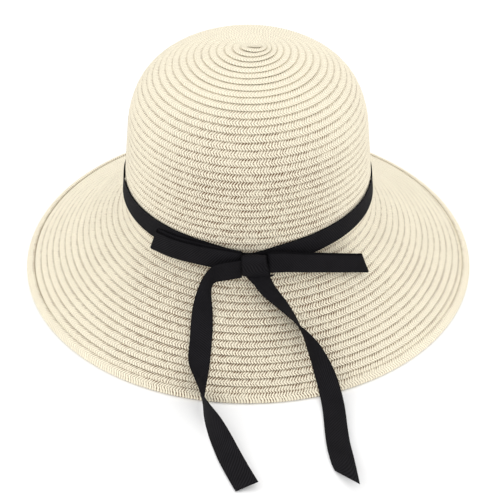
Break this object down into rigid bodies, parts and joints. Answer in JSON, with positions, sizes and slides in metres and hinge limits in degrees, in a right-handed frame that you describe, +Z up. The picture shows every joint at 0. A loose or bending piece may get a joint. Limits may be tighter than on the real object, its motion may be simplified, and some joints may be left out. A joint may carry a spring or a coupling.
{
  "type": "sun hat",
  "caption": "Wide-brimmed straw sun hat with a domed crown, a sweatband inside and a narrow ribbon tied round the crown in a flat bow with two long tails.",
  "frame": {"origin": "centre of the head opening, at the hat line where the crown turns into the brim", "axes": "+Z up through the top of the crown; the bow and the ribbon tails are at the front, on the -Y side; +X is to the right as seen from the front"},
  "size_m": [0.3468, 0.4304, 0.1871],
  "materials": {
    "straw": "plaited paper straw, sewn in overlapping rows, matt",
    "straw_edge": "plaited paper straw folded double, matt",
    "sweatband": "soft woven tape",
    "label": "smooth woven tab, blank",
    "ribbon": "fine twill ribbon, dull"
  },
  "bodies": {
    "hat": {"crown": "straw", "brim": "straw", "brim_edge": "straw_edge", "sweatband": "sweatband", "size_label": "label"},
    "ribbon": {"ribbon_band": "ribbon", "bow_knot": "ribbon"},
    "loop_left": {"bow_loop_left": "ribbon"},
    "loop_right": {"bow_loop_right": "ribbon"},
    "tail_left": {"tail_left": "ribbon"},
    "tail_right": {"tail_right": "ribbon"}
  },
  "joints": [
    {"name": "ribbon_turn", "type": "hinge", "parent": "hat", "child": "ribbon", "pos_m": [0, 0, 0.0152], "axis": [0, 0, 1], "continuous": true},
    {"name": "loop_left_swing", "type": "hinge", "parent": "ribbon", "child": "loop_left", "pos_m": [-0.004, -0.1008, 0.0093], "axis": [0, 0, 1], "range_deg": [0, 12]},
    {"name": "loop_right_swing", "type": "hinge", "parent": "ribbon", "child": "loop_right", "pos_m": [0.0136, -0.1008, 0.0093], "axis": [0, 0, -1], "range_deg": [0, 50]},
    {"name": "tail_left_lift", "type": "hinge", "parent": "ribbon", "child": "tail_left", "pos_m": [-0.004, -0.1008, 0.012], "axis": [-1, 0, 0], "range_deg": [0, 70]},
    {"name": "tail_right_lift", "type": "hinge", "parent": "ribbon", "child": "tail_right", "pos_m": [0.0048, -0.1008, 0], "axis": [-1, 0, 0], "range_deg": [0, 70]}
  ]
}
